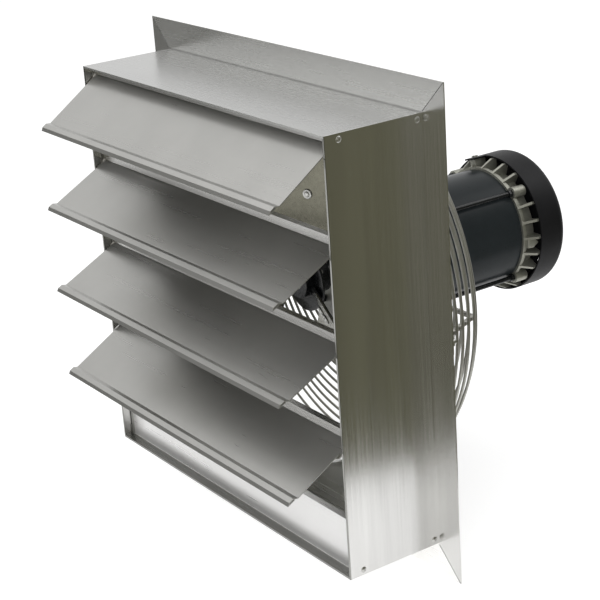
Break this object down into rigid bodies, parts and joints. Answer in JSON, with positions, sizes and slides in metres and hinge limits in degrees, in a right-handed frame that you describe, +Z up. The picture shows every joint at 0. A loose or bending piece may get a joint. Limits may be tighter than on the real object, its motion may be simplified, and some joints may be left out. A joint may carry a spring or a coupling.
{
  "type": "shutter exhaust fan",
  "caption": "Square wall exhaust fan with linked gravity louvers, a propeller in an orifice panel, a wire guard and a finned motor.",
  "frame": {"origin": "on the fan axis, in the plane of the wall flange's front face", "axes": "+Z up, +X to the right seen from the louvers, +Y along the fan axis from the louvers to the motor"},
  "size_m": [0.555, 0.5348, 0.555],
  "materials": {
    "housing_sheet": "lightly brushed",
    "shutter_frame": "dull mill finish",
    "louver_sheet": "satin mill finish",
    "zinc_hardware": "satin",
    "plain_steel": "satin",
    "bush_nylon": "matte",
    "guard_wire": "satin plated wire",
    "motor_paint": "semi-gloss",
    "cast_end_bell": "cast",
    "cover_black": "fine matte grain",
    "grommet_rubber": "matte",
    "winding_copper": "varnished",
    "bright_steel": "ground",
    "propeller_sheet": "satin"
  },
  "bodies": {
    "root": {"housing_top": "housing_sheet", "housing_bottom": "housing_sheet", "housing_left": "housing_sheet", "housing_right": "housing_sheet", "housing_rivets": "zinc_hardware", "orifice_panel": "housing_sheet", "jamb_left": "shutter_frame", "jamb_right": "shutter_frame", "rail_1": "housing_sheet", "rail_2": "housing_sheet", "rail_3": "housing_sheet", "rail_4": "housing_sheet", "sill_panel": "housing_sheet", "hinge_bushes": "bush_nylon", "guard_arm_1": "guard_wire", "guard_arm_2": "guard_wire", "guard_arm_3": "guard_wire", "guard_arm_4": "guard_wire", "face_rings": "guard_wire", "side_rings": "guard_wire", "guard_studs": "zinc_hardware", "guard_nuts": "zinc_hardware", "motor_plate": "plain_steel", "motor_shell": "motor_paint", "front_end_bell": "motor_paint", "rear_end_bell": "cast_end_bell", "through_bolts": "motor_paint", "bolt_nuts": "motor_paint", "fan_cover": "cover_black", "cover_screws": "zinc_hardware", "stator_core": "plain_steel", "windings": "winding_copper", "front_bearing": "bright_steel", "rear_bearing": "bright_steel", "lead_grommet": "grommet_rubber"},
    "leaf_1": {"louver_1": "louver_sheet", "hinge_rod_1": "plain_steel", "crank_1": "plain_steel"},
    "leaf_2": {"louver_2": "louver_sheet", "hinge_rod_2": "plain_steel", "crank_2": "plain_steel"},
    "leaf_3": {"louver_3": "louver_sheet", "hinge_rod_3": "plain_steel", "crank_3": "plain_steel"},
    "leaf_4": {"louver_4": "louver_sheet", "hinge_rod_4": "plain_steel", "crank_4": "plain_steel"},
    "tie": {"tie_bar": "plain_steel", "tie_pins": "zinc_hardware"},
    "rotor": {"rotor_core": "plain_steel", "motor_shaft": "bright_steel", "cooling_fan": "cover_black", "spider": "motor_paint", "blade_1": "propeller_sheet", "blade_2": "propeller_sheet", "blade_3": "propeller_sheet", "blade_rivets": "zinc_hardware", "set_screw": "plain_steel"}
  },
  "joints": [
    {"name": "louver_1_swing", "type": "hinge", "parent": "root", "child": "leaf_1", "pos_m": [0, -0.10545, 0.22655], "axis": [1, 0, 0], "range_deg": [-15, 55]},
    {"name": "louver_2_swing", "type": "hinge", "parent": "root", "child": "leaf_2", "pos_m": [0, -0.10545, 0.12155], "axis": [1, 0, 0], "range_deg": [-16.64, 61.01]},
    {"name": "louver_3_swing", "type": "hinge", "parent": "root", "child": "leaf_3", "pos_m": [0, -0.10545, 0.01655], "axis": [1, 0, 0], "range_deg": [-17.05, 62.51]},
    {"name": "louver_4_swing", "type": "hinge", "parent": "root", "child": "leaf_4", "pos_m": [0, -0.10545, -0.08845], "axis": [1, 0, 0], "range_deg": [-16.23, 59.51]},
    {"name": "tie_bar_pivot", "type": "hinge", "parent": "leaf_1", "child": "tie", "pos_m": [-0.15, -0.09067, 0.22093], "axis": [1, 0, 0], "range_deg": [-55, 15]},
    {"name": "propeller_spin", "type": "hinge", "parent": "root", "child": "rotor", "pos_m": [0, 0, 0], "axis": [0, 1, 0], "continuous": true}
  ],
  "couplings": [
    {"joint": "louver_2_swing", "follows": "louver_1_swing", "ratio": 1.1091},
    {"joint": "louver_3_swing", "follows": "louver_1_swing", "ratio": 1.1364},
    {"joint": "louver_4_swing", "follows": "louver_1_swing", "ratio": 1.0818},
    {"joint": "tie_bar_pivot", "follows": "louver_1_swing", "ratio": -1}
  ]
}
